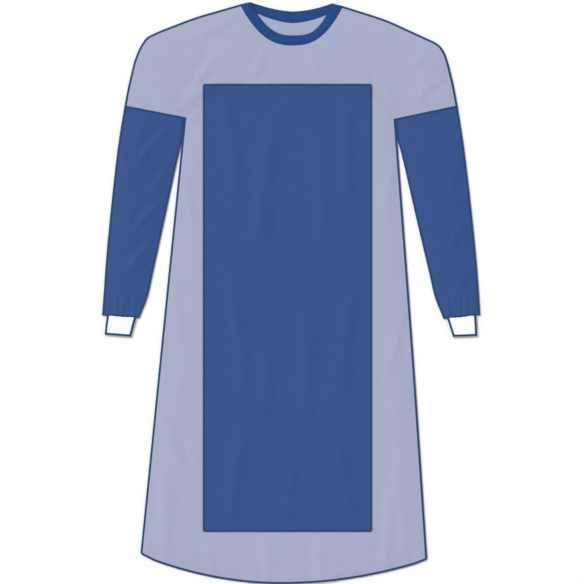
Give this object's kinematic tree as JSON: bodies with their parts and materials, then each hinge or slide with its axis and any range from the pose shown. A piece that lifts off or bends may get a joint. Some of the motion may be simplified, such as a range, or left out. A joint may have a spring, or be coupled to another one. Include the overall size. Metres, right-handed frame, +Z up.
{
  "type": "surgical gown",
  "caption": "Reinforced back-opening surgical gown laid flat, front up, with a bound scoop neck, long blue sleeves, white rib-knit cuffs and a long front reinforcement.",
  "frame": {"origin": "on the surface that the gown lies on, under the middle of its outline", "axes": "+Z up out of the front, +Y towards the neck, +X towards the wearer's left"},
  "size_m": [0.7942, 1.2218, 0.0067],
  "materials": {
    "gown_cloth": "matt nonwoven, lavender",
    "reinforced_cloth": "film-faced nonwoven, mid blue, faint sheen",
    "neck_binding": "matt binding tape, navy",
    "cuff_knit": "rib knit, white",
    "edge_thread": "overlock thread, navy"
  },
  "bodies": {
    "root": {"front": "gown_cloth", "back_left": "gown_cloth", "back_right": "gown_cloth", "reinforcement": "reinforced_cloth", "sleeve_left": "reinforced_cloth", "sleeve_right": "reinforced_cloth", "cuff_left": "cuff_knit", "cuff_right": "cuff_knit", "neckband_front": "neck_binding", "neckband_back_left": "neck_binding", "neckband_back_right": "neck_binding"}
  },
  "joints": []
}
